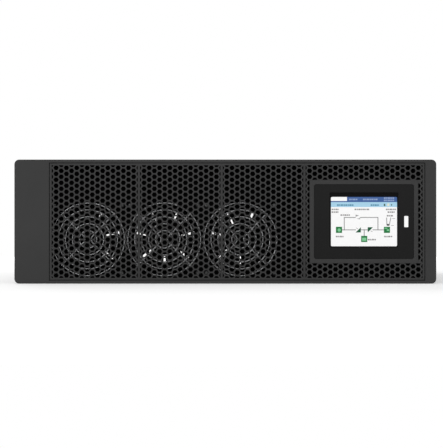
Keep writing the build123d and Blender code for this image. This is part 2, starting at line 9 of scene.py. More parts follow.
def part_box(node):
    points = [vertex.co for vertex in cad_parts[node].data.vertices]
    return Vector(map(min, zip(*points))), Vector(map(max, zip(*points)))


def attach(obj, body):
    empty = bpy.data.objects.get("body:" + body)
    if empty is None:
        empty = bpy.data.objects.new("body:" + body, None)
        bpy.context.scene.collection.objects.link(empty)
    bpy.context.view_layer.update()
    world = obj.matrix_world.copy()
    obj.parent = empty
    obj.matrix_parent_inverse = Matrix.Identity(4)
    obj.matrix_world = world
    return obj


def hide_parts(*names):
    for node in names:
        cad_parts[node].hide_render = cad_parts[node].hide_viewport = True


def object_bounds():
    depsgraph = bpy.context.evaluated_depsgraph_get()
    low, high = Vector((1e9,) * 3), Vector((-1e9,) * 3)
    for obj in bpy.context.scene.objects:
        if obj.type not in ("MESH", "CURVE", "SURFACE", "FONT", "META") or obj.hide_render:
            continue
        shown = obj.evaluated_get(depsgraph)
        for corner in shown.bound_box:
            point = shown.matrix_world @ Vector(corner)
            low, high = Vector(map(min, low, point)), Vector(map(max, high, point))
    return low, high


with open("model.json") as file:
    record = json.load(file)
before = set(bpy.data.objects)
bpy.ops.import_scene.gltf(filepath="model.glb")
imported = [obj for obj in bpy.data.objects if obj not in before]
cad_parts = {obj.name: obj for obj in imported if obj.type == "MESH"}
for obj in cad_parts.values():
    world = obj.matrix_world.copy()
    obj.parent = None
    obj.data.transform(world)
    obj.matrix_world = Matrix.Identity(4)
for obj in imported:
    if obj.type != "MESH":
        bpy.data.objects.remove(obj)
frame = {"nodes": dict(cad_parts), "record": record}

cad_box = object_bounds()
nodes = frame["nodes"]
BODY = "unit"
FANS = ("left", "middle", "right")
MM = 0.001
HEXAGON = 6
SMOOTH_ANGLE = 40.0  # degrees, above which an edge stays sharp

# Lengths under which points count as one
FILL_TOLERANCE = 1e-9
MERGE_DISTANCE = 1e-7

# Honeycomb grille
BAYS = 4
CELL_PITCH = 6.23 * MM
CELL_HOLE = 4.7 * MM
COLUMN_PITCH = CELL_PITCH * math.cos(math.radians(30))
GRILLE_GAP = 0.7 * MM  # between the bays and the bezel's opening
FIELD_MARGIN = 2.7 * MM  # from the bezel's opening to the field of cells
FIRST_COLUMN = 7.3 * MM  # from the bezel's opening to the middle of the first column
RIB_WIDTH = 2.3 * MM  # half on each of two bays
CELL_EDGE = 0.13 * MM
LAND = 0.35 * MM  # strip left between a cut cell and the display's rim
SMALLEST_OPENING = 1.0 * MM * MM
SHORTEST_SIDE = 0.05 * MM

# Wire guards and fan screws
WIRE = 1.5 * MM
WIRE_SIDES = 10
GUARD_RINGS = 5
GUARD_RADIUS = 38.4 * MM  # of the outermost ring
GUARD_PITCH = 7.3 * MM
GUARD_POINTS = 96
GUARD_EYE_RADIUS = 3.2 * MM
GUARD_EYE_POINTS = 24
GUARD_TIP = 1.5 * MM  # from the guard's middle to where a stay's straight sides would meet
GUARD_BEND = 5.0 * MM
GUARD_BEND_STEPS = 12
FAN_SCREW_OFFSET = 35.75 * MM

# Screen and the layers of its picture
SCREEN_SIDE = 0.65 * MM  # from the side of the screen to the picture's origin
SCREEN_HEAD = 3.85 * MM  # from the top of the screen to the picture's origin; the wider strip of black glass this leaves above the picture is partly the screen's border and partly painted shade under the window's upper edge
FILM = 0.02 * MM  # thickness of a layer

# Picture, in millimetres from its top left: a bar is left, right, top and bottom
LIT_AREA = (0.6, 69.5, 0.7, 52.1)
LIT_CORNER = 1.1
TITLE_BOTTOM = 6.05
BAND_BOTTOM = 11.2
TAB_RIGHT = 17.3
TAB_BOTTOM = 4.9
BAND_ICONS = [(55.7, 57.3, 7.8, 10.3), (63.2, 64.4, 8.2, 9.7)]
PALE_ICON = (59.2, 61.6, 7.4, 10.3)
LINE = 0.95
SYMBOL = 6.4
CONVERTER = 5.5
INPUT_X = 9.0
RECTIFIER_X = 29.0
BATTERY_X = 35.3
INVERTER_X = 41.7
OUTPUT_X = 59.0
MAIN_Y = 35.0
BATTERY_Y = 44.5
LOOP_X = (14.5, 49.6)
BYPASS_Y = 22.1
SWITCH_X = (26.0, 31.2)
UPPER_ARROW = (26.3, 30.0, 19.1, 21.3)  # base, tip, top and bottom
LOWER_ARROW = (31.0, 27.2, 22.7, 24.1)
GAUGE_Y = (22.6, 29.6)
GAUGE_SIDES = [(58.7, 58.9), (63.0, 61.5)]  # top and foot of each side
GAUGE_LINE = 0.9
GAUGE_MARKS = [(64.4, 67.6, 22.9, 23.4), (63.2, 66.2, 30.2, 30.7)]
GAUGE_FILL = (58.9, 61.5, 28.9, 30.7)

# Marks in the symbols, from the middle of each
CONVERTER_MARK = [(1.9, 1.9), (0.6, 1.0)]  # ends of a stroke, turned about in the rectifier
CONVERTER_MARK_LINE = 0.6
INPUT_DISC = (0.2, 0.2)
INPUT_DISC_RADIUS = 1.7
INPUT_DISC_POINTS = 24
OUTPUT_BARS = [(-2.4, 0.4, -2.2, -1.2), (-0.2, 2.4, -0.5, 1.1)]
BATTERY_CELL = (-2.2, 2.2, -1.3, 1.9)

# Rows of words, drawn as plain bars: left, right and middle
LETTER = 1.55
WORD_LENGTHS = (1.9, 1.2, 2.4, 1.5)
WORD_GAP = 0.45
TITLE_WORDS = [(19.5, 28.6, 3.3), (34.0, 49.6, 3.3), (55.8, 66.5, 1.9), (55.8, 66.5, 4.3)]
BAND_WORDS = [(6.9, 24.6, 9.2), (42.0, 51.0, 9.2)]
DIAGRAM_WORDS = [  # over the diagram, then by its loop, gauge and symbols
    (1.3, 8.8, 13.7), (1.3, 8.6, 16.5), (25.2, 40.4, 13.7), (57.9, 68.2, 13.7), (59.6, 67.2, 16.5),
    (10.5, 20.4, 19.6), (58.8, 65.4, 20.3), (5.7, 13.7, 42.0), (56.1, 65.0, 42.0), (39.1, 47.8, 45.2),
]

# Screw heads as (radius, height) steps in millimetres, with a cross recess
SCREW_SIDES = 24
FAN_SCREW = [(2.9, 0.0), (2.9, 0.8), (2.6, 1.5), (1.9, 2.0)]
COVER_SCREW = [(2.7, 0.0), (2.7, 0.3), (2.3, 0.6), (1.8, 0.8)]
CLAMP_SCREW = [(2.6, 0.0), (2.6, 0.7), (2.3, 1.0)]
BLOCK_SCREW = [(1.3, 0.0), (1.3, 0.1), (1.1, 0.25)]
THUMBSCREW = [(3.4, 0.0), (4.0, 0.5), (4.0, 6.9), (3.5, 7.6), (2.9, 8.0)]
THUMBSCREW_SIDES = 60
THUMBSCREW_TOP = 2.0  # height of the end that its recess is cut into
KNURL = 0.2
CROSS_ARM = 0.52  # of the radius of the screw's end
CROSS_WIDTH = 0.15  # half the width of an arm, of the same radius
CROSS_DEPTH = 0.45  # of the head's height
CROSS_FLOOR = 0.8  # of the size of the recess's mouth

# Screws of the sheet-metal case
COVER_SCREWS_ALONG = 6  # down each side, into the tray's flanges
COVER_SCREWS_ACROSS = 4  # along the front and rear edges of the top
COVER_SCREW_LIFT = 6.6 * MM
COVER_SCREW_INSET = 14.0 * MM  # from the front and rear edges
COVER_SCREW_SIDE_INSET = 28.0 * MM
TERMINAL_SCREW_INSET = 12.0 * MM
REAR_SCREWS_HIGH = [x * MM for x in (-150.0, -20.0, 55.0, 212.0)]
REAR_SCREWS_LOW = [x * MM for x in (-212.0, -110.0, 26.0, 212.0)]
REAR_SCREW_DROP = 3.6 * MM  # from the top of the rear panel to the high row
REAR_SCREW_LIFT = 4.4 * MM  # from the foot of the rear panel to the low row

# Serial port
SERIAL_FLANGE = (31.0 * MM, 12.5 * MM)
SERIAL_FLANGE_THICKNESS = 1.0 * MM
SERIAL_FLANGE_CORNER = 1.5 * MM
SERIAL_SHELL = (17.0 * MM, 8.4 * MM)
SERIAL_SHELL_LENGTH = 5.5 * MM
SERIAL_SHELL_CORNER = 1.6 * MM
SERIAL_WALL = 0.5 * MM
SERIAL_LEAN = math.tan(math.radians(10))
SERIAL_SHELL_EDGE = 0.12 * MM
SERIAL_NUT_OFFSET = 12.5 * MM
SERIAL_NUT_LENGTH = 4.5 * MM
SERIAL_NUT_RADIUS = 2.7 * MM
SERIAL_NUT_BORE = 1.4 * MM  # radius
SERIAL_NUT_BORE_POINTS = 16
SERIAL_EDGE = 0.2 * MM  # of the flange and the nuts
INSULATOR_LENGTH = 4.6 * MM
INSULATOR_GAP = 0.02 * MM
PIN_ROWS = [(5, 1.4 * MM), (4, -1.4 * MM)]  # pins in each row, and its height
PIN_PITCH = 2.75 * MM
PIN_RADIUS = 0.6 * MM
PIN_POINTS = 12
PIN_EDGE = 0.08 * MM

# Data socket
USB_TONGUE = (5.6 * MM, 3.2 * MM)
USB_FLOOR = 1.2 * MM
USB_TONGUE_END = 4.8 * MM
USB_TONGUE_EDGE = 0.3 * MM
USB_SKIN = 0.1 * MM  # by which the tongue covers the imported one
USB_CONTACT = (1.0 * MM, 0.12 * MM)
USB_CONTACT_OFFSET = 1.25 * MM
USB_CONTACT_END = 4.4 * MM
USB_CONTACT_EDGE = 0.05 * MM

# Terminal block for a remote switch
BLOCK_CHAMFER = 2.2 * MM
BLOCK_EDGE = 0.25 * MM
BLOCK_POLE = 2.6 * MM  # from the middle of the block to a mouth and its screw
BLOCK_MOUTH = (3.6 * MM, 4.0 * MM)
BLOCK_MOUTH_DROP = 1.2 * MM
BLOCK_CLAMP = 0.5 * MM  # height of a clamp, and its gap to the sides of its mouth
BLOCK_CLAMP_EDGE = 0.2 * MM

# Earth stud, its profiles as (radius, height) steps in millimetres
WASHER = [(6.5, 0.0), (6.5, 0.9), (6.2, 1.2)]
STUD_RADIUS = 3.0
STUD_SIDES = 32
STUD_END = (2.3, 15.0)
THREAD_START = 6.0
THREAD_STEP = 0.5
THREAD_STEPS = 18
THREAD_DEPTH = 0.4
NUT_RADIUS = 5.0 / math.cos(math.radians(30)) * MM
NUT_BASE = 1.2 * MM
NUT_TOP = 6.2 * MM
NUT_EDGE = 0.5 * MM

# Breaker
BREAKER_BODY = 5.0 * MM
BREAKER_NOSE = 8.5 * MM  # from the middle to the ends of the part that stands out
BREAKER_POLE = 9.0 * MM  # from the middle of the breaker to the middle of a pole
BREAKER_CLAMP = 13.3 * MM
BREAKER_BAR = (0.9 * MM, 3.2 * MM)
BREAKER_BAR_DROP = 4.6 * MM
BREAKER_BAR_EDGE = 0.02 * MM
BREAKER_SEAM = 0.4 * MM
BREAKER_RELIEF = 0.05 * MM  # height of the bars and the seam

# Battery socket and the terminal cover's knockouts
BATTERY_POLES = 3
BATTERY_FLOOR = 3.0 * MM
BATTERY_BLADE = (8.0 * MM, 2.4 * MM)
BATTERY_BLADE_END = 10.0 * MM
BATTERY_BLADE_EDGE = 0.5 * MM
KNOCKOUTS = 3
KNOCKOUT_PITCH = 40.0 * MM
KNOCKOUT_FLOOR = 0.6 * MM
KNOCKOUT_RING = (9.6 * MM, 8.8 * MM)  # outer and inner radius
KNOCKOUT_RING_HEIGHT = 0.35 * MM
KNOCKOUT_RING_EDGE = 0.1 * MM
KNOCKOUT_POINTS = 48

# Surfaces, with scales in cells a metre
NOISE_SPAN = (0.3, 0.7)  # part of a noise that goes from the darker to the lighter tone
TONE_SCALE = 24.0
ROUGHNESS_CHANGE = 0.06
EDGE_SAMPLES = 4
SCRATCH_SCALE = 900.0
SCRATCH_SHADE = 0.86  # of the metal's colour
SCRATCH_ROUGHNESS = (-0.05, 0.08)  # least and most that scratches add
ELEMENT_SCALE = 4500.0  # of the elements of the screen's picture
LIT_SHARE = 0.5  # of a lit colour that the area gives out, the rest being painted glow in its base colour

# Stage and lamps, in metres
FLOOR_RADIUS = 1.7
FLOOR_SIDES = 96
FLOOR_TONE = 0.93
FLOOR_GLOW = 0.4  # added to the floor where it is seen
SURROUND_LIGHT = 0.32  # what the white surround gives to matt surfaces
LAMPS = [  # name, place, point that it faces, side and power in watts
    ("key", (-0.7, -3.3, 0.9), (0, -0.3, 0.06), 1.6, 46.0),
    ("fill", (0.9, -3.2, 0.6), (0, -0.3, 0.06), 1.6, 15.0),
    ("top", (0.3, 0.2, 2.6), (0, 0.0, 0.1), 1.8, 4.0),
    ("back", (-0.6, 2.6, 1.2), (0, 0.3, 0.06), 1.6, 44.0),
]

# Camera
PHOTO_HEIGHT = 448  # pixels, the longer side of the picture
SCALE = 1.0424 * MM  # of a pixel at the front of the bezel
CAMERA_DISTANCE = 2.4
CAMERA_X = -4.0 * MM
CAMERA_Z = 62.2 * MM
SENSOR = 36.0


# Mesh helpers


def add_object(name, bm, material, smooth_angle=SMOOTH_ANGLE):
    """Turns a bmesh into a scene object, smooth except at edges sharper than the angle."""
    bmesh.ops.recalc_face_normals(bm, faces=bm.faces)
    mesh = bpy.data.meshes.new(name)
    bm.to_mesh(mesh)
    bm.free()
    mesh.materials.append(material)
    obj = bpy.data.objects.new(name, mesh)
    bpy.context.collection.objects.link(obj)
    mesh.polygons.foreach_set("use_smooth", [True] * len(mesh.polygons))
    mesh.set_sharp_from_angle(angle=math.radians(smooth_angle))
    return obj


def add_piece(name, bm, material, slot, *replaced, smooth_angle=SMOOTH_ANGLE):
    """A piece of the unit and the nodes that it stands for; the name of its finish is not used."""
    obj = add_object(name, bm, material, smooth_angle)
    if replaced:
        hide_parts(*replaced)
    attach(obj, BODY)


def clip_polygon(points, axis, limit, keep_low):
    """Part of a convex polygon on one side of an upright or level line."""
    sign = 1 if keep_low else -1
    kept = []
    for i, point in enumerate(points):
        before = points[i - 1]
        inside = sign * (limit - point[axis])
        inside_before = sign * (limit - before[axis])
        if inside * inside_before < 0:
            share = inside_before / (inside_before - inside)
            kept.append(tuple(b + share * (p - b) for b, p in zip(before, point)))
        if inside >= 0:
            kept.append(point)
    return kept


def clip_to_box(points, box):
    """Part of a convex polygon inside (x low, x high, z low, z high)."""
    for axis in (0, 1):
        points = clip_polygon(points, axis, box[2 * axis + 1], True)
        points = clip_polygon(points, axis, box[2 * axis], False)
    return points


def polygon_area(points):
    """Signed area, positive when the points run anticlockwise."""
    before = points[-1:] + points[:-1]
    return sum(a[0] * b[1] - b[0] * a[1] for a, b in zip(before, points)) / 2


def offset_polygon(points, distance):
    """A convex anticlockwise polygon with every side moved outwards."""
    moved = []
    count = len(points)
    for i, point in enumerate(points):
        before = Vector(point) - Vector(points[i - 1])
        after = Vector(points[(i + 1) % count]) - Vector(point)
        n1 = Vector((before.y, -before.x)).normalized()
        n2 = Vector((after.y, -after.x)).normalized()
        shift = (n1 + n2) * (distance / (1 + n1.dot(n2)))
        moved.append((point[0] + shift.x, point[1] + shift.y))
    return moved


def tidy_polygon(points):
    """The polygon without corners that lie closer together than its shortest side may be."""
    kept = []
    for point in points:
        if not kept or (Vector(point) - Vector(kept[-1])).length > SHORTEST_SIDE:
            kept.append(point)
    if len(kept) > 1 and (Vector(kept[0]) - Vector(kept[-1])).length <= SHORTEST_SIDE:
        kept.pop()
    return kept


def rounded_polygon(points, radius, steps=4):
    """A convex anticlockwise polygon with an arc at each corner."""
    rounded = []
    count = len(points)
    for i, point in enumerate(points):
        corner = Vector(point)
        back = (Vector(points[i - 1]) - corner).normalized()
        ahead = (Vector(points[(i + 1) % count]) - corner).normalized()
        half = back.angle(ahead) / 2
        middle = corner + (back + ahead).normalized() * (radius / math.sin(half))
        start = corner + back * (radius / math.tan(half)) - middle
        turn = math.pi - 2 * half
        for step in range(steps + 1):
            rounded.append(tuple(middle + Matrix.Rotation(turn * step / steps, 2) @ start))
    return rounded


def circle(x, z, radius, count):
    """Points round a circle, anticlockwise."""
    turns = [2 * math.pi * i / count for i in range(count)]
    return [(x + radius * math.cos(a), z + radius * math.sin(a)) for a in turns]


def box_corners(box):
    """Corners of (x low, x high, z low, z high), anticlockwise where z is up."""
    x_low, x_high, z_low, z_high = box
    return [(x_low, z_low), (x_high, z_low), (x_high, z_high), (x_low, z_high)]


def around(x, z, width, height):
    """Corners of a rectangle about a point, anticlockwise."""
    return box_corners((x - width / 2, x + width / 2, z - height / 2, z + height / 2))


def is_inside(point, polygon):
    """Whether a point lies inside a polygon, by counting the sides on its right."""
    inside = False
    for a, b in zip(polygon[-1:] + polygon[:-1], polygon):
        crosses = (a[1] > point.y) != (b[1] > point.y)
        if crosses and point.x < a[0] + (point.y - a[1]) * (b[0] - a[0]) / (b[1] - a[1]):
            inside = not inside
    return inside


def fill_face(bm, outline, holes, y):
    """Flat face at a depth, with holes, returning the corners of the outline and of each hole."""
    loops = [outline] + holes
    points, edges, starts = [], [], []
    for loop in loops:
        start = len(points)
        starts.append(start)
        points += [Vector(p) for p in loop]
        edges += [(start + i, start + (i + 1) % len(loop)) for i in range(len(loop))]
    owner = [index for index, loop in enumerate(loops) for _ in loop]
    places, _, triangles, sources, _, _ = geometry.delaunay_2d_cdt(points, edges, [], 0, FILL_TOLERANCE)
    verts = [bm.verts.new((p.x, y, p.y)) for p in places]
    for triangle in triangles:
        owners = {owner[sources[i][0]] for i in triangle}
        hole = owners.pop()
        middle = sum((places[i] for i in triangle), Vector((0, 0))) / 3
        if owners or hole == 0 or not is_inside(middle, loops[hole]):
            bm.faces.new([verts[i] for i in triangle])
    place = {source: verts[new] for new, old in enumerate(sources) for source in old}
    return [[place[start + i] for i in range(len(loop))] for start, loop in zip(starts, loops)]


def add_loop(bm, outline, y):
    """Vertices of an outline at a depth."""
    return [bm.verts.new((x, y, z)) for x, z in outline]


def bands(bm, loops):
    """Four-sided faces from each loop to the next, which has as many vertices."""
    for first, second in zip(loops, loops[1:]):
        for i in range(len(first)):
            bm.faces.new((first[i - 1], first[i], second[i], second[i - 1]))


def closed_skin(bm, loops):
    """Bands along the loops and a face at both ends."""
    bands(bm, loops)
    bm.faces.new(loops[0])
    bm.faces.new(loops[-1])


def perforated_plate(bm, outline, holes, front, back, edge):
    """Plate in the front view with convex openings, its front edges rounded."""
    step = edge * (1 - math.cos(math.radians(45)))
    inner = offset_polygon(outline, -edge)
    loops = fill_face(bm, inner, [offset_polygon(hole, edge) for hole in holes], front)
    back_loops = fill_face(bm, outline, holes, back)
    for index, shape in enumerate([outline] + holes):
        outwards = -1 if index == 0 else 1
        middle = add_loop(bm, offset_polygon(shape, outwards * step), front + step)
        side = add_loop(bm, shape, front + edge)
        bands(bm, [loops[index], middle, side, back_loops[index]])


def flat_plate(bm, outline, front, back):
    """Plain plate of any outline between two depths."""
    closed_skin(bm, [add_loop(bm, outline, y) for y in (front, back)])


def bevelled_plate(bm, outline, front, back, edge):
    """Plate of a convex outline with a bevel round its front."""
    near = add_loop(bm, offset_polygon(outline, -edge), front)
    closed_skin(bm, [near] + [add_loop(bm, outline, y) for y in (front + edge, back)])


def sweep_wire(bm, path, closed):
    """Round wire along a path, closed into a ring or capped at its ends."""
    rings = []
    count = len(path)
    angles = [2 * math.pi * i / WIRE_SIDES for i in range(WIRE_SIDES)]
    for i, point in enumerate(path):
        ahead = path[(i + 1) % count] if closed or i + 1 < count else point
        behind = path[i - 1] if closed or i > 0 else point
        along = (ahead - behind).normalized()
        across = along.cross(Vector((0, 1, 0))).normalized()
        other = across.cross(along)
        spokes = [math.cos(a) * across + math.sin(a) * other for a in angles]
        rings.append([bm.verts.new(point + WIRE / 2 * spoke) for spoke in spokes])
    if closed:
        bands(bm, rings + rings[:1])
    else:
        closed_skin(bm, rings)


def turned(bm, profile, count, ridge=0.0):
    """Rings of a turned piece that faces the front, from (radius, height) steps in millimetres."""
    directions = circle(0, 0, MM, count)
    rings = []
    for radius, height in profile:
        radii = [radius - ridge * (i % 2) for i in range(count)]
        outline = [(x * r, z * r) for (x, z), r in zip(directions, radii)]
        rings.append(add_loop(bm, outline, -height * MM))
    bands(bm, rings)
    bm.faces.new(rings[0])
    return rings[-1]


def cross_outline(arm, half_width):
    """Outline of a cross recess, anticlockwise."""
    quarter = [(arm, -half_width), (arm, half_width), (half_width, half_width)]
    turns = [Matrix.Rotation(math.radians(90 * i), 2) for i in range(4)]
    return [tuple(turn @ Vector(point)) for turn in turns for point in quarter]


def recessed_end(bm, ring, height):
    """Closes the end of a turned piece with a cross recess."""
    outline = [(v.co.x, v.co.z) for v in ring]
    radius = max(x for x, _ in outline)
    cross = cross_outline(CROSS_ARM * radius, CROSS_WIDTH * radius)
    y = ring[0].co.y
    rim, mouth = fill_face(bm, outline, [cross], y)
    floor_outline = [(x * CROSS_FLOOR, z * CROSS_FLOOR) for x, z in cross]
    floor = add_loop(bm, floor_outline, y + CROSS_DEPTH * height)
    bands(bm, [mouth, floor])
    bm.faces.new(floor)
    bmesh.ops.remove_doubles(bm, verts=rim + ring, dist=MERGE_DISTANCE)


def screw(profile, count=SCREW_SIDES, ridge=0.0, top=None):
    """One screw head that faces the front, as a mesh to copy. Its recess suits the height of its top."""
    bm = bmesh.new()
    end = turned(bm, profile, count, ridge)
    recessed_end(bm, end, (top or profile[-1][1]) * MM)
    mesh = bpy.data.meshes.new("screw")
    bm.to_mesh(mesh)
    bm.free()
    return mesh


def add_copies(bm, mesh, places):
    """Copies of a mesh, each moved by a matrix."""
    for place in places:
        before = len(bm.verts)
        bm.from_mesh(mesh)
        bm.verts.ensure_lookup_table()
        bmesh.ops.transform(bm, matrix=place, verts=bm.verts[before:])


def add_screws(name, head, places, material, *replaced, smooth_angle=SMOOTH_ANGLE):
    """Screws of one kind as one piece."""
    bm = bmesh.new()
    add_copies(bm, head, places)
    add_piece(name, bm, material, "fixings", *replaced, smooth_angle=smooth_angle)


def facing(side, point):
    """Matrix that takes a piece which faces the front to a point, facing a named side."""
    turns = {
        "front": Matrix.Identity(4),
        "rear": Matrix.Rotation(math.pi, 4, "Z"),
        "right": Matrix.Rotation(math.pi / 2, 4, "Z"),
        "left": Matrix.Rotation(-math.pi / 2, 4, "Z"),
        "top": Matrix.Rotation(-math.pi / 2, 4, "X"),
    }
    return Matrix.Translation(point) @ turns[side]


def both_sides(low, high, y, z):
    """Matrices for a pair of pieces that face left and right from the sides of a box."""
    return [facing("left", (low[0], y, z)), facing("right", (high[0], y, z))]


def middle_of(low, high):
    """Middle of a box in the front view."""
    return (low[0] + high[0]) / 2, (low[2] + high[2]) / 2


# Materials


def srgb(red, green, blue):
    """Scene colour of a picture colour given from 0 to 255."""
    shares = [c / 255 for c in (red, green, blue)]
    return tuple(s / 12.92 if s <= 0.04045 else ((s + 0.055) / 1.055) ** 2.4 for s in shares)


def grey(value):
    """Colour with three equal parts."""
    return (value, value, value)


def scaled(colour, share):
    """A darker colour, as a share of another."""
    return tuple(c * share for c in colour)


def new_material(name):
    """A material with its node tree, shader and object-space position."""
    material = bpy.data.materials.new(name)
    material.use_nodes = True
    tree = material.node_tree
    shader = tree.nodes["Principled BSDF"]
    position = tree.nodes.new("ShaderNodeTexCoord").outputs["Object"]
    return material, tree, shader, position


def noise(tree, position, scale, detail=2.0, roughness=0.5):
    """Noise over the surface, with a scale in cells per metre."""
    node = tree.nodes.new("ShaderNodeTexNoise")
    node.inputs["Scale"].default_value = scale
    node.inputs["Detail"].default_value = detail
    node.inputs["Roughness"].default_value = roughness
    tree.links.new(position, node.inputs["Vector"])
    return node.outputs["Fac"]


def ramp(tree, value, stops):
    """Colour ramp between two (position, colour) stops."""
    node = tree.nodes.new("ShaderNodeValToRGB")
    elements = node.color_ramp.elements
    for element, (place, colour) in zip(elements, stops):
        element.position = place
        element.color = (*colour, 1.0)
    tree.links.new(value, node.inputs["Fac"])
    return node.outputs["Color"]


def spread(tree, value, low, high):
    """A value from 0 to 1 spread between two numbers."""
    node = tree.nodes.new("ShaderNodeMapRange")
    node.inputs["To Min"].default_value = low
    node.inputs["To Max"].default_value = high
    tree.links.new(value, node.inputs["Value"])
    return node.outputs["Result"]


def bump(tree, shader, height, depth, edge):
    """Fine relief of a depth in metres, over edges that are softened by a radius."""
    soft = tree.nodes.new("ShaderNodeBevel")
    soft.samples = EDGE_SAMPLES
    soft.inputs["Radius"].default_value = edge
    node = tree.nodes.new("ShaderNodeBump")
    node.inputs["Strength"].default_value = 1.0
    node.inputs["Distance"].default_value = depth
    tree.links.new(height, node.inputs["Height"])
    tree.links.new(soft.outputs["Normal"], node.inputs["Normal"])
    tree.links.new(node.outputs["Normal"], shader.inputs["Normal"])


def plastic(name, dark, light, roughness, grain, depth, specular, edge=0.2 * MM):
    """Moulded plastic or coat with a fine texture and a faint change of tone."""
    material, tree, shader, position = new_material(name)
    tone = noise(tree, position, TONE_SCALE, detail=4.0)
    tree.links.new(ramp(tree, tone, zip(NOISE_SPAN, (dark, light))), shader.inputs["Base Color"])
    grains = noise(tree, position, grain, detail=3.0, roughness=0.6)
    sheen = spread(tree, grains, roughness - ROUGHNESS_CHANGE, roughness + ROUGHNESS_CHANGE)
    tree.links.new(sheen, shader.inputs["Roughness"])
    shader.inputs["Specular IOR Level"].default_value = specular
    bump(tree, shader, grains, depth, edge)
    return material


def plated_metal(name, colour, roughness, streak):
    """Bright metal with a grain of fine scratches."""
    material, tree, shader, position = new_material(name)
    mapping = tree.nodes.new("ShaderNodeMapping")
    mapping.inputs["Scale"].default_value = streak
    tree.links.new(position, mapping.inputs["Vector"])
    scratches = noise(tree, mapping.outputs["Vector"], SCRATCH_SCALE, detail=3.0)
    tint = ramp(tree, scratches, zip(NOISE_SPAN, (scaled(colour, SCRATCH_SHADE), colour)))
    tree.links.new(tint, shader.inputs["Base Color"])
    low, high = (roughness + change for change in SCRATCH_ROUGHNESS)
    tree.links.new(spread(tree, scratches, low, high), shader.inputs["Roughness"])
    shader.inputs["Metallic"].default_value = 1.0
    return material


def lit(name, colour, ripple=0.04):
    """Lit area of a display, with the faint grid of its picture elements and part of its light painted
    into its base colour as painted glow.
    """
    material, tree, shader, position = new_material(name)
    dots = tree.nodes.new("ShaderNodeTexVoronoi")
    dots.inputs["Scale"].default_value = ELEMENT_SCALE
    dots.inputs["Randomness"].default_value = 0.0
    tree.links.new(position, dots.inputs["Vector"])
    stops = [(0.0, colour), (1.0, scaled(colour, 1 - ripple))]
    # painted glow: the share of the light that is not given out is painted into the base colour
    painted_glow = [(place, scaled(c, 1 - LIT_SHARE)) for place, c in stops]
    tree.links.new(ramp(tree, dots.outputs["Distance"], painted_glow), shader.inputs["Base Color"])
    tree.links.new(ramp(tree, dots.outputs["Distance"], stops), shader.inputs["Emission Color"])
    shader.inputs["Emission Strength"].default_value = LIT_SHARE
    shader.inputs["Roughness"].default_value = 0.4
    shader.inputs["Specular IOR Level"].default_value = 0.05
    return material


# Name, darker and lighter tone, roughness, grains a metre and their depth, specular level, edge radius
BEZEL = plastic("bezel_plastic", grey(0.049), grey(0.052), 0.8, 2600.0, 0.02 * MM, 0.01)
PANEL = plastic("panel_black", grey(0.0084), grey(0.0095), 0.38, 1500.0, 0.004 * MM, 0.05)
# Screen glass: near-black; where it shows above the picture it is partly border and partly painted shade
# under the window's upper edge
GLASS = plastic("screen_glass", grey(0.002), grey(0.003), 0.2, 300.0, 0.001 * MM, 0.025)
COAT = plastic("black_powder_coat", grey(0.010), grey(0.013), 0.52, 1400.0, 0.04 * MM, 0.3, 0.4 * MM)
# Fan bulkhead: black steel made far darker than the case's coat as painted shade, so the openings behind
# the grille read as deep shade
BULKHEAD_SHADE_BLACK = plastic("bulkhead_black_painted_shade", grey(0.0015), grey(0.002), 0.85, 1400.0, 0.02 * MM, 0.03)
# Fans: black plastic made far darker than real black plastic as painted shade, so they read as deep
# shade through the grille
FAN_PLASTIC = plastic("fan_plastic", grey(0.002), grey(0.003), 0.8, 1800.0, 0.01 * MM, 0.02)
BLACK_OXIDE = plastic("black_oxide", grey(0.012), grey(0.016), 0.3, 1800.0, 0.005 * MM, 0.5)
BLACK_PLASTIC = plastic("connector_black", grey(0.010), grey(0.013), 0.5, 1800.0, 0.02 * MM, 0.4)
GREY_PLASTIC = plastic("connector_grey", grey(0.20), grey(0.23), 0.5, 1800.0, 0.02 * MM, 0.4)
WHITE_INK = plastic("white_ink", grey(0.72), grey(0.78), 0.6, 1800.0, 0.005 * MM, 0.2)
GREEN_LOW = (0.02, 0.17, 0.06)
GREEN_HIGH = (0.03, 0.21, 0.08)
GREEN_PLASTIC = plastic("connector_green", GREEN_LOW, GREEN_HIGH, 0.45, 1800.0, 0.02 * MM, 0.4)
# Name, colour, roughness and how closely the scratches lie along each axis
NICKEL = plated_metal("nickel_wire", (0.36, 0.36, 0.37), 0.3, (1.0, 1.0, 1.0))
STEEL = plated_metal("plated_steel", (0.58, 0.58, 0.59), 0.30, (1.0, 6.0, 1.0))
SHELL = plated_metal("connector_shell", (0.60, 0.60, 0.61), 0.32, (6.0, 1.0, 1.0))
BRASS = plated_metal("contact_brass", (0.72, 0.56, 0.30), 0.3, (1.0, 6.0, 1.0))
LIGHT = lit("light_bar", grey(1.0), 0.0)

NODE_MATERIALS = {
    "bezel": BEZEL,
    "black_panel": PANEL,
    "screen": GLASS,
    "light": LIGHT,
    "chassis": COAT,
    "fan_plastic": FAN_PLASTIC,
    "wire": NICKEL,
    "fixings": STEEL,
    "connector_black": BLACK_PLASTIC,
    "connector_grey": GREY_PLASTIC,
    "connector_green": GREEN_PLASTIC,
    "connector_metal": SHELL,
}


def paint_nodes():
    """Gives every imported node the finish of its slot."""
    for subpart in frame["record"]["subparts"]:
        slots = nodes[subpart["node"]].data.materials
        slots.clear()
        slots.append(NODE_MATERIALS[subpart["material_slot"]])
    # the bulkhead gets the near-black finish; its extra darkness is painted shade
    nodes["fan_bulkhead"].data.materials[0] = BULKHEAD_SHADE_BLACK


# Honeycomb grille


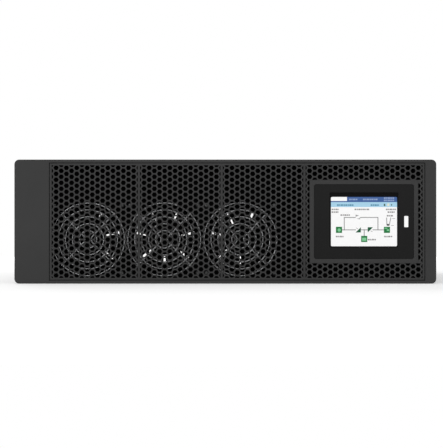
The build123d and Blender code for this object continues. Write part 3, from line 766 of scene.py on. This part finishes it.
def grille_frame():
    """The bays' boxes, the field of the cells, the first column and the middle row."""
    boxes = [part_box(f"grille_bay_{i + 1}") for i in range(BAYS)]
    left, bottom = boxes[0][0][0], boxes[0][0][2]
    right, top = boxes[-1][1][0], boxes[-1][1][2]
    inset = FIELD_MARGIN - GRILLE_GAP
    field = (left + inset, right - inset, bottom + inset, top - inset)
    return boxes, field, left - GRILLE_GAP + FIRST_COLUMN, (bottom + top) / 2


def outside_rim(cell, rim):
    """The largest part of a cell on one side of the display's rim."""
    limits = [(axis, rim[2 * axis + end], end == 0) for axis in (0, 1) for end in (0, 1)]
    sides = [clip_polygon(cell, *limit) for limit in limits]
    return max(sides, key=lambda points: polygon_area(points) if len(points) > 2 else 0.0)


def bay_cells(field, first_x, middle_z, rim):
    """Openings of one bay, cut off at its field and at the display's rim."""
    cells = []
    cell_radius = CELL_HOLE / 2 / math.cos(math.radians(30))
    rows = math.ceil((field[3] - field[2]) / 2 / CELL_PITCH) + 1
    first = math.floor((field[0] - first_x) / COLUMN_PITCH)
    last = math.ceil((field[1] - first_x) / COLUMN_PITCH)
    for column in range(first, last + 1):
        x = first_x + column * COLUMN_PITCH
        shift = CELL_PITCH / 2 if column % 2 else 0.0
        for row in range(-rows, rows + 1):
            cell = circle(x, middle_z + row * CELL_PITCH + shift, cell_radius, HEXAGON)
            cell = clip_to_box(cell, field)
            if len(cell) > 2 and rim:
                cell = outside_rim(cell, rim)
            cell = tidy_polygon(cell)
            if len(cell) > 2 and polygon_area(cell) > SMALLEST_OPENING:
                cells.append(cell)
    return cells


def make_grille():
    """The four bays of the honeycomb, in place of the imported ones."""
    boxes, field, first_x, middle_z = grille_frame()
    rim_low, rim_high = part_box("display_housing")
    rim = (rim_low[0], rim_high[0], rim_low[2], rim_high[2])
    wide_rim = (rim[0] - LAND, rim[1] + LAND, rim[2] - LAND, rim[3] + LAND)
    for i, (low, high) in enumerate(boxes):
        last = i == BAYS - 1
        x_low = field[0] if i == 0 else low[0] + RIB_WIDTH / 2
        x_high = field[1] if last else high[0] - RIB_WIDTH / 2
        bay = (x_low, x_high, field[2], field[3])
        holes = bay_cells(bay, first_x, middle_z, wide_rim if last else None)
        if last:
            holes.append(box_corners(rim))
        bm = bmesh.new()
        outline = box_corners((low[0], high[0], low[2], high[2]))
        perforated_plate(bm, outline, holes, low[1], high[1], CELL_EDGE)
        add_piece(f"honeycomb_bay_{i + 1}", bm, BEZEL, "bezel", f"grille_bay_{i + 1}")


# Wire guards and the screws that hold the fans


def bent_stay(centre, y, side):
    """Path of one stay, from a corner eye to the middle of the guard and out again."""
    slope = math.atan2(FAN_SCREW_OFFSET, FAN_SCREW_OFFSET - GUARD_TIP)
    bend_x = -GUARD_TIP - GUARD_BEND / math.sin(slope)
    half_turn = math.pi / 2 - slope
    points = [(-FAN_SCREW_OFFSET, FAN_SCREW_OFFSET)]
    for i in range(GUARD_BEND_STEPS + 1):
        a = half_turn - 2 * half_turn * i / GUARD_BEND_STEPS
        points.append((bend_x + GUARD_BEND * math.cos(a), GUARD_BEND * math.sin(a)))
    points.append((-FAN_SCREW_OFFSET, -FAN_SCREW_OFFSET))
    return [Vector((centre[0] + side * x, y, centre[1] + z)) for x, z in points]


def circle_path(centre, y, radius, count):
    """Points round a circle in the front view."""
    return [Vector((x, y, z)) for x, z in circle(*centre, radius, count)]


def fan_screw_places(fan):
    """Middles of a fan's four screws in the front view."""
    x, z = middle_of(*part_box(f"fan_housing_{fan}"))
    offsets = (-FAN_SCREW_OFFSET, FAN_SCREW_OFFSET)
    return [(x + dx, z + dz) for dx in offsets for dz in offsets]


def make_guard(fan):
    """Round wire rings on two bent stays with an eye at each corner."""
    low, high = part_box(f"fan_guard_{fan}")
    centre = middle_of(low, high)
    stay_y = high[1] - WIRE / 2
    ring_y = low[1] + WIRE / 2
    bm = bmesh.new()
    for i in range(GUARD_RINGS):
        ring = circle_path(centre, ring_y, GUARD_RADIUS - i * GUARD_PITCH, GUARD_POINTS)
        sweep_wire(bm, ring, True)
    for side in (1, -1):
        sweep_wire(bm, bent_stay(centre, stay_y, side), False)
    for place in fan_screw_places(fan):
        eye = circle_path(place, stay_y, GUARD_EYE_RADIUS, GUARD_EYE_POINTS)
        sweep_wire(bm, eye, True)
    add_piece(f"guard_wires_{fan}", bm, NICKEL, "wire", f"fan_guard_{fan}", smooth_angle=60.0)


def make_fan_screws():
    """Four screws for each fan, on the front of the bulkhead."""
    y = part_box("fan_bulkhead")[0][1]
    places = [facing("front", (x, y, z)) for fan in FANS for x, z in fan_screw_places(fan)]
    add_screws("fan_screws", screw(FAN_SCREW), places, BLACK_OXIDE)


# Picture on the screen: a plain one-line diagram of the power path


def bar_in(x, y, sides):
    """Rectangle whose left, right, top and bottom are given from a point."""
    left, right, top, bottom = sides
    return box_corners((x + left, x + right, y + top, y + bottom))


def stroke(start, end, width=LINE):
    """Straight line of a width, with square ends."""
    a, b = Vector(start), Vector(end)
    along = (b - a).normalized() * width / 2
    across = Vector((-along.y, along.x))
    corners = (a - along - across, b + along - across, b + along + across, a - along + across)
    return [tuple(corner) for corner in corners]


def words(x_low, x_high, y):
    """Row of short bars that stands for a line of words."""
    bars = []
    x = x_low
    while x < x_high:
        end = min(x + WORD_LENGTHS[len(bars) % len(WORD_LENGTHS)], x_high)
        bars.append(box_corners((x, end, y - LETTER / 2, y + LETTER / 2)))
        x = end + WORD_GAP
    return bars


def word_rows(rows):
    """Bars for several rows of words."""
    return [shape for row in rows for shape in words(*row)]


def main_path():
    """Supply, rectifier, inverter and load on one line, with a branch to the battery."""
    half_symbol, half_converter = SYMBOL / 2, CONVERTER / 2
    stops = [INPUT_X + half_symbol]
    for x in (RECTIFIER_X, INVERTER_X):
        stops += [x - half_converter, x + half_converter]
    stops.append(OUTPUT_X - half_symbol)
    lines = [stroke((a, MAIN_Y), (b, MAIN_Y)) for a, b in zip(stops[::2], stops[1::2])]
    return lines + [stroke((BATTERY_X, MAIN_Y), (BATTERY_X, BATTERY_Y - half_symbol))]


def arrow(base, tip, y_low, y_high):
    """Solid arrowhead from an upright base to a tip."""
    return [(base, y_low), (base, y_high), (tip, (y_low + y_high) / 2)]


def bypass_loop():
    """Loop over the main path, broken by a two-way electronic switch."""
    left, right = LOOP_X
    start, end = SWITCH_X
    lines = [stroke((x, BYPASS_Y), (x, MAIN_Y)) for x in LOOP_X]
    lines += [stroke((a, BYPASS_Y), (b, BYPASS_Y)) for a, b in ((left, start), (end, right))]
    return lines + [arrow(*UPPER_ARROW), arrow(*LOWER_ARROW)]


def load_gauge():
    """Tapered gauge over the load, with two marks beside it."""
    top, foot = GAUGE_Y
    sides = [stroke((x_top, top), (x_foot, foot), GAUGE_LINE) for x_top, x_foot in GAUGE_SIDES]
    return sides + [box_corners(mark) for mark in GAUGE_MARKS]


def converters():
    """Dark halves of the two converters' squares."""
    triangles = []
    for x, half in ((RECTIFIER_X, CONVERTER / 2), (INVERTER_X, -CONVERTER / 2)):
        corners = [(half, -half), (half, half), (-half, half)]
        triangles.append([(x + dx, MAIN_Y + dy) for dx, dy in corners])
    return triangles


def converter_marks():
    """A short stroke in the pale half of each converter's square."""
    marks = []
    for x, sign in ((RECTIFIER_X, -1), (INVERTER_X, 1)):
        ends = [(x + sign * dx, MAIN_Y + sign * dy) for dx, dy in CONVERTER_MARK]
        marks.append(stroke(*ends, CONVERTER_MARK_LINE))
    return marks


def symbol_marks():
    """Pale marks in the three symbols: a disc, two bars and a cell."""
    disc_x, disc_y = INPUT_DISC
    disc = circle(INPUT_X + disc_x, MAIN_Y + disc_y, INPUT_DISC_RADIUS, INPUT_DISC_POINTS)
    bars = [bar_in(OUTPUT_X, MAIN_Y, sides) for sides in OUTPUT_BARS]
    return [disc, *bars, bar_in(BATTERY_X, BATTERY_Y, BATTERY_CELL)]


def make_picture():
    """Layers of the picture, each a film on the one below."""
    low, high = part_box("lcd_screen")
    # the picture starts lower than at its sides, so the band of black glass above it is painted shade as
    # well as border
    left, top, front = low[0] + SCREEN_SIDE, high[2] - SCREEN_HEAD, low[1]
    ground = rounded_polygon(box_corners(LIT_AREA), LIT_CORNER)
    area_left, area_right, area_top, _ = LIT_AREA
    title = clip_to_box(ground, (area_left, area_right, area_top, TITLE_BOTTOM))
    tab = clip_to_box(ground, (area_left, TAB_RIGHT, area_top, TAB_BOTTOM))
    band = clip_to_box(ground, (area_left, area_right, TITLE_BOTTOM, BAND_BOTTOM))
    middles = [(INPUT_X, MAIN_Y), (OUTPUT_X, MAIN_Y), (BATTERY_X, BATTERY_Y)]
    symbols = [around(*middle, SYMBOL, SYMBOL) for middle in middles]
    lines = main_path() + bypass_loop() + load_gauge() + converter_marks()
    layers = [  # name, level above the screen, shapes and colour
        ("ground", 1, [ground], (255, 255, 255)),
        ("title_bar", 2, [title], (70, 101, 158)),
        ("tool_band", 2, [band], (172, 214, 236)),
        ("tab", 3, [tab], (255, 255, 255)),
        ("title_words", 3, word_rows(TITLE_WORDS), (146, 166, 204)),
        ("band_words", 3, word_rows(BAND_WORDS), (84, 140, 168)),
        ("band_icons", 3, [box_corners(sides) for sides in BAND_ICONS], (82, 110, 98)),
        ("pale_icons", 3, [box_corners(PALE_ICON)], (226, 232, 214)),
        ("diagram", 2, lines, (158, 158, 158)),
        ("diagram_words", 2, word_rows(DIAGRAM_WORDS), (152, 150, 150)),
        ("gauge_fill", 3, [box_corners(GAUGE_FILL)], (66, 70, 68)),
        ("symbols", 3, symbols, (40, 122, 68)),
        ("converters", 3, converters(), (36, 92, 64)),
        ("symbol_marks", 4, symbol_marks(), (132, 206, 154)),
    ]
    for name, level, shapes, colour in layers:
        bm = bmesh.new()
        for shape in shapes:
            outline = [(left + x * MM, top - y * MM) for x, y in shape]
            flat_plate(bm, outline, front - level * FILM, front - (level - 1) * FILM)
        add_piece(f"picture_{name}", bm, lit(f"lit_{name}", srgb(*colour)), "screen")


# Screws of the sheet-metal case


def evenly(low, high, count):
    """Evenly spaced places from one end to the other."""
    return [low + (high - low) * i / (count - 1) for i in range(count)]


def make_cover_screws():
    """Low screws along the foot of both sides and across the top of the cover."""
    low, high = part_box("top_cover")
    ends = (low[1] + COVER_SCREW_INSET, high[1] - COVER_SCREW_INSET)
    places = []
    for y in evenly(*ends, COVER_SCREWS_ALONG):
        places += both_sides(low, high, y, COVER_SCREW_LIFT)
    sides = (low[0] + COVER_SCREW_SIDE_INSET, high[0] - COVER_SCREW_SIDE_INSET)
    for x in evenly(*sides, COVER_SCREWS_ACROSS):
        places += [facing("top", (x, y, high[2])) for y in ends]
    add_screws("cover_screws", screw(COVER_SCREW), places, BLACK_OXIDE)


def make_terminal_screws():
    """Screws that hold the terminal cover, in its two sides."""
    low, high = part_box("terminal_cover")
    y = (low[1] + high[1]) / 2
    places = []
    for z in (low[2] + TERMINAL_SCREW_INSET, high[2] - TERMINAL_SCREW_INSET):
        places += both_sides(low, high, y, z)
    add_screws("terminal_cover_screws", screw(FAN_SCREW), places, STEEL)


# Connections at the rear, built to face the front and then turned round


def centred(count, pitch):
    """Places of a row about its middle."""
    return [(i - (count - 1) / 2) * pitch for i in range(count)]


def add_rear_piece(name, bm, node, material, slot, *replaced):
    """Adds a piece at the middle of a node's foot on the rear panel, turned to face the rear."""
    low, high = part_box(node)
    x, z = middle_of(low, high)
    bmesh.ops.transform(bm, matrix=facing("rear", (x, low[1], z)), verts=bm.verts)
    add_piece(name, bm, material, slot, *replaced)


def d_outline(inset):
    """Outline of the serial port's shell, wide at the top."""
    half_width, half_height = SERIAL_SHELL[0] / 2, SERIAL_SHELL[1] / 2
    foot = half_width - 2 * half_height * SERIAL_LEAN
    corners = [(-foot, -half_height), (foot, -half_height)]
    corners += [(half_width, half_height), (-half_width, half_height)]
    return rounded_polygon(offset_polygon(corners, -inset), SERIAL_SHELL_CORNER - inset)


def make_serial_port():
    """Flange, hollow shell and jack nuts, and the insulator with its nine holes."""
    face = -SERIAL_FLANGE_THICKNESS
    bm = bmesh.new()
    flange = rounded_polygon(around(0, 0, *SERIAL_FLANGE), SERIAL_FLANGE_CORNER)
    bevelled_plate(bm, flange, face, 0.0, SERIAL_EDGE)
    shell_end = face - SERIAL_SHELL_LENGTH
    perforated_plate(bm, d_outline(0.0), [d_outline(SERIAL_WALL)], shell_end, face, SERIAL_SHELL_EDGE)
    for nut_x in (-SERIAL_NUT_OFFSET, SERIAL_NUT_OFFSET):
        nut = circle(nut_x, 0, SERIAL_NUT_RADIUS, HEXAGON)
        bore = circle(nut_x, 0, SERIAL_NUT_BORE, SERIAL_NUT_BORE_POINTS)
        perforated_plate(bm, nut, [bore], face - SERIAL_NUT_LENGTH, face, SERIAL_EDGE)
    add_rear_piece("serial_shell", bm, "serial_port", SHELL, "connector_metal", "serial_port")
    holes = []
    for count, height in PIN_ROWS:
        holes += [circle(pin_x, height, PIN_RADIUS, PIN_POINTS) for pin_x in centred(count, PIN_PITCH)]
    bm = bmesh.new()
    insulator = d_outline(SERIAL_WALL + INSULATOR_GAP)
    perforated_plate(bm, insulator, holes, face - INSULATOR_LENGTH, face, PIN_EDGE)
    add_rear_piece("serial_insulator", bm, "serial_port", BLACK_PLASTIC, "connector_black")


def make_usb_tongue():
    """Plastic tongue of the data socket, with two contacts above and two below."""
    width, height = (side + USB_SKIN for side in USB_TONGUE)
    bm = bmesh.new()
    tongue = around(0, 0, width, height)
    bevelled_plate(bm, tongue, -USB_TONGUE_END - USB_SKIN, -USB_FLOOR, USB_TONGUE_EDGE)
    add_rear_piece("usb_tongue", bm, "usb_port", BLACK_PLASTIC, "connector_black")
    bm = bmesh.new()
    for dx in (-USB_CONTACT_OFFSET, USB_CONTACT_OFFSET):
        for side in (-1, 1):
            strip = around(dx, side * (height + USB_CONTACT[1]) / 2, *USB_CONTACT)
            bevelled_plate(bm, strip, -USB_CONTACT_END, -USB_FLOOR, USB_CONTACT_EDGE)
    add_rear_piece("usb_contacts", bm, "usb_port", BRASS, "connector_metal")


def make_switch_block():
    """Terminal block with two wire mouths under a slope that holds the clamp screws."""
    node = "switch_terminal"
    low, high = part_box(node)
    half_width, half_height = (high[0] - low[0]) / 2, (high[2] - low[2]) / 2
    length = high[1] - low[1]
    shoulder = length - BLOCK_CHAMFER
    brow = half_height - BLOCK_CHAMFER
    bm = bmesh.new()
    flat_plate(bm, box_corners((-half_width, half_width, -half_height, half_height)), -shoulder, 0.0)
    nose = box_corners((-half_width, half_width, -half_height, brow))
    poles = (-BLOCK_POLE, BLOCK_POLE)
    mouths = [around(dx, -BLOCK_MOUTH_DROP, *BLOCK_MOUTH) for dx in poles]
    perforated_plate(bm, nose, mouths, -length, -shoulder, BLOCK_EDGE)
    slope = ((-shoulder, brow), (-length, brow), (-shoulder, half_height))
    ends = [[bm.verts.new((dx, y, dz)) for y, dz in slope] for dx in (-half_width, half_width)]
    closed_skin(bm, ends)
    add_rear_piece("switch_block", bm, node, GREEN_PLASTIC, "connector_green", node)
    bm = bmesh.new()
    tilt = Matrix.Rotation(math.radians(-45), 4, "X")
    slope_y, slope_z = -(shoulder + length) / 2, (brow + half_height) / 2
    places = [Matrix.Translation((dx, slope_y, slope_z)) @ tilt for dx in poles]
    add_copies(bm, screw(BLOCK_SCREW), places)
    for mouth in mouths:
        clamp = offset_polygon(mouth, -BLOCK_CLAMP)
        bevelled_plate(bm, clamp, -shoulder - BLOCK_CLAMP, -shoulder, BLOCK_CLAMP_EDGE)
    add_rear_piece("switch_clamps", bm, node, STEEL, "fixings")


def make_thumbscrews():
    """Knurled heads at both ends of the card slot's cover."""
    low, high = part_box("slot_thumbscrews")
    z, radius = (low[2] + high[2]) / 2, (high[2] - low[2]) / 2
    places = [facing("rear", (x, low[1], z)) for x in (low[0] + radius, high[0] - radius)]
    head = screw(THUMBSCREW, THUMBSCREW_SIDES, KNURL, THUMBSCREW_TOP)
    add_screws("knurled_screws", head, places, STEEL, "slot_thumbscrews", smooth_angle=20.0)


def make_earth_stud():
    """Threaded stud with a washer and a chamfered nut."""
    thread = []
    for i in range(THREAD_STEPS):
        thread.append((STUD_RADIUS - THREAD_DEPTH * (i % 2), THREAD_START + THREAD_STEP * i))
    bm = bmesh.new()
    for profile in (WASHER, thread + [STUD_END]):
        bm.faces.new(turned(bm, profile, STUD_SIDES))
    bevelled_plate(bm, circle(0, 0, NUT_RADIUS, HEXAGON), -NUT_TOP, -NUT_BASE, NUT_EDGE)
    add_rear_piece("earth_fixing", bm, "earth_stud", BRASS, "fixings", "earth_stud")


def make_breaker_details():
    """Clamp screws, the seam between the poles and a bar under each lever."""
    low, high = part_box("input_breaker")
    x, z = middle_of(low, high)
    nose = high[1] - low[1]
    poles = (-BREAKER_POLE, BREAKER_POLE)
    clamps = [(dx, dz) for dx in poles for dz in (-BREAKER_CLAMP, BREAKER_CLAMP)]
    places = [facing("rear", (x + dx, low[1] + BREAKER_BODY, z + dz)) for dx, dz in clamps]
    add_screws("breaker_clamps", screw(CLAMP_SCREW), places, STEEL)
    bm = bmesh.new()
    for dx in poles:
        mark = around(dx, -BREAKER_BAR_DROP, *BREAKER_BAR)
        bevelled_plate(bm, mark, -nose - BREAKER_RELIEF, -nose, BREAKER_BAR_EDGE)
    add_rear_piece("breaker_bars", bm, "input_breaker", WHITE_INK, "connector_grey")
    half_height = (high[2] - low[2]) / 2
    stretches = [
        (-half_height, -BREAKER_NOSE, BREAKER_BODY),
        (-BREAKER_NOSE, BREAKER_NOSE, nose),
        (BREAKER_NOSE, half_height, BREAKER_BODY),
    ]
    bm = bmesh.new()
    for z_low, z_high, height in stretches:
        seam = box_corners((-BREAKER_SEAM / 2, BREAKER_SEAM / 2, z_low, z_high))
        flat_plate(bm, seam, -height - BREAKER_RELIEF, -height)
    add_rear_piece("breaker_seam", bm, "input_breaker", BLACK_PLASTIC, "connector_black")


def make_battery_blades():
    """Flat contact in each mouth of the battery socket."""
    low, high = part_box("battery_socket")
    bm = bmesh.new()
    for dz in centred(BATTERY_POLES, (high[2] - low[2]) / BATTERY_POLES):
        blade = around(0, dz, *BATTERY_BLADE)
        bevelled_plate(bm, blade, -BATTERY_BLADE_END, -BATTERY_FLOOR, BATTERY_BLADE_EDGE)
    add_rear_piece("battery_blades", bm, "battery_socket", BRASS, "connector_metal")


def make_knockout_rings():
    """Ring in each knockout for a smaller cable."""
    low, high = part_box("terminal_cover")
    floor = high[1] - low[1] - KNOCKOUT_FLOOR
    bm = bmesh.new()
    for dx in centred(KNOCKOUTS, KNOCKOUT_PITCH):
        ring, opening = (circle(dx, 0, radius, KNOCKOUT_POINTS) for radius in KNOCKOUT_RING)
        perforated_plate(bm, ring, [opening], -floor - KNOCKOUT_RING_HEIGHT, -floor, KNOCKOUT_RING_EDGE)
    add_rear_piece("knockout_rings", bm, "terminal_cover", COAT, "chassis")


def make_rear_screws():
    """Low screws along the top and the foot of the rear panel."""
    low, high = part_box("rear_panel")
    places = [facing("rear", (x, high[1], high[2] - REAR_SCREW_DROP)) for x in REAR_SCREWS_HIGH]
    places += [facing("rear", (x, high[1], low[2] + REAR_SCREW_LIFT)) for x in REAR_SCREWS_LOW]
    add_screws("rear_panel_screws", screw(COVER_SCREW), places, BLACK_OXIDE)


# Stage, lamps and camera


def seen_rays(tree):
    """One for rays from the camera, off gloss and through glass, and nothing for the rest."""
    path = tree.nodes.new("ShaderNodeLightPath")
    seen = path.outputs["Is Camera Ray"]
    for ray in ("Is Glossy Ray", "Is Transmission Ray"):
        either = tree.nodes.new("ShaderNodeMath")
        either.operation = "MAXIMUM"
        tree.links.new(seen, either.inputs[0])
        tree.links.new(path.outputs[ray], either.inputs[1])
        seen = either.outputs[0]
    return seen


def make_floor():
    """Pale round floor that looks nearly white and keeps the shadow."""
    bm = bmesh.new()
    bmesh.ops.create_circle(bm, cap_ends=True, segments=FLOOR_SIDES, radius=FLOOR_RADIUS)
    material, tree, shader, _ = new_material("floor_white")
    shader.inputs["Base Color"].default_value = (*grey(FLOOR_TONE), 1.0)
    shader.inputs["Roughness"].default_value = 0.9
    shader.inputs["Specular IOR Level"].default_value = 0.0
    shader.inputs["Emission Color"].default_value = (*grey(1.0), 1.0)
    tree.links.new(spread(tree, seen_rays(tree), 0.0, FLOOR_GLOW), shader.inputs["Emission Strength"])
    add_object("floor", bm, material)


def make_surround():
    """White surround, dimmer for the light that it gives to matt surfaces."""
    world = bpy.data.worlds.new("studio")
    bpy.context.scene.world = world
    world.use_nodes = True
    tree = world.node_tree
    background = tree.nodes["Background"]
    background.inputs["Color"].default_value = (*grey(1.0), 1.0)
    tree.links.new(spread(tree, seen_rays(tree), SURROUND_LIGHT, 1.0), background.inputs["Strength"])


def area_light(name, location, target, size, power):
    """Soft square lamp that faces a point."""
    lamp = bpy.data.lights.new(name, "AREA")
    lamp.size = size
    lamp.energy = power
    obj = bpy.data.objects.new(name, lamp)
    obj.location = location
    obj.rotation_euler = (Vector(target) - Vector(location)).to_track_quat("-Z", "Y").to_euler()
    bpy.context.collection.objects.link(obj)


def make_camera():
    """Long lens square to the front."""
    camera = bpy.data.cameras.new("camera")
    camera.sensor_width = SENSOR
    camera.lens = SENSOR * CAMERA_DISTANCE / (PHOTO_HEIGHT * SCALE)
    obj = bpy.data.objects.new("camera", camera)
    obj.location = (CAMERA_X, cad_box[0][1] - CAMERA_DISTANCE, CAMERA_Z)
    obj.rotation_euler = (math.radians(90), 0, 0)
    bpy.context.collection.objects.link(obj)
    bpy.context.scene.camera = obj


paint_nodes()
make_grille()
for fan in FANS:
    make_guard(fan)
make_fan_screws()
make_picture()
make_cover_screws()
make_terminal_screws()
make_serial_port()
make_usb_tongue()
make_switch_block()
make_thumbscrews()
make_earth_stud()
make_breaker_details()
make_battery_blades()
make_knockout_rings()
make_rear_screws()
make_floor()
make_surround()
for lamp in LAMPS:
    area_light(*lamp)
make_camera()
bpy.context.scene.view_settings.view_transform = "Standard"
